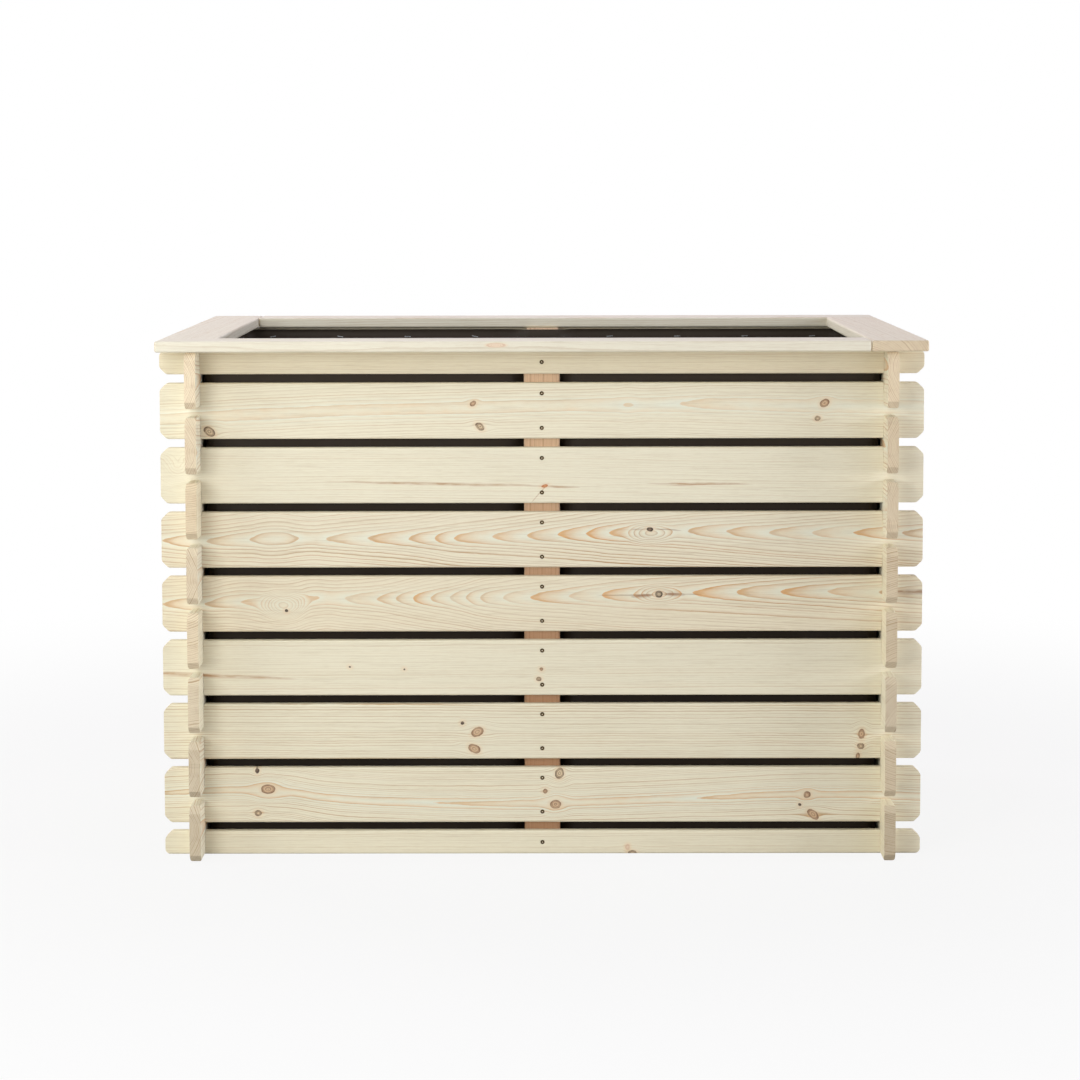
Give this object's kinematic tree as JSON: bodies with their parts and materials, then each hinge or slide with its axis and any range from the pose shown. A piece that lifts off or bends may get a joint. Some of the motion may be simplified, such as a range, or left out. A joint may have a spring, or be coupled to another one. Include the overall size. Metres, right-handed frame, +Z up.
{
  "type": "raised garden bed",
  "caption": "Rectangular bottomless raised bed of stacked, cross-lapped planed boards with protruding clipped ends, a flat rim and a film lining.",
  "frame": {"origin": "on the ground, under the middle of the bed", "axes": "+X along the long walls to the right, -Y towards the front, +Z up"},
  "size_m": [1.1, 0.77, 0.7518],
  "materials": {
    "pine_board": "planed, untreated",
    "pine_rim": "planed, untreated",
    "pine_batten": "planed, untreated",
    "zinc_screw": "yellow zinc",
    "black_film": "matt film",
    "staple_steel": "bright"
  },
  "bodies": {
    "root": {"front_half_board_bottom": "pine_board", "front_board_1": "pine_board", "front_board_2": "pine_board", "front_board_3": "pine_board", "front_board_4": "pine_board", "front_board_5": "pine_board", "front_board_6": "pine_board", "front_board_7": "pine_board", "front_half_board_top": "pine_board", "back_half_board_bottom": "pine_board", "back_board_1": "pine_board", "back_board_2": "pine_board", "back_board_3": "pine_board", "back_board_4": "pine_board", "back_board_5": "pine_board", "back_board_6": "pine_board", "back_board_7": "pine_board", "back_half_board_top": "pine_board", "left_board_1": "pine_board", "left_board_2": "pine_board", "left_board_3": "pine_board", "left_board_4": "pine_board", "left_board_5": "pine_board", "left_board_6": "pine_board", "left_board_7": "pine_board", "left_board_8": "pine_board", "right_board_1": "pine_board", "right_board_2": "pine_board", "right_board_3": "pine_board", "right_board_4": "pine_board", "right_board_5": "pine_board", "right_board_6": "pine_board", "right_board_7": "pine_board", "right_board_8": "pine_board", "rim_front": "pine_rim", "rim_right": "pine_rim", "rim_back": "pine_rim", "rim_left": "pine_rim", "front_batten": "pine_batten", "back_batten": "pine_batten", "liner": "black_film", "rim_screw_front_1": "zinc_screw", "rim_screw_front_2": "zinc_screw", "rim_screw_front_3": "zinc_screw", "rim_screw_right_1": "zinc_screw", "rim_screw_right_2": "zinc_screw", "rim_screw_back_1": "zinc_screw", "rim_screw_back_2": "zinc_screw", "rim_screw_back_3": "zinc_screw", "rim_screw_left_1": "zinc_screw", "rim_screw_left_2": "zinc_screw"}
  },
  "joints": []
}
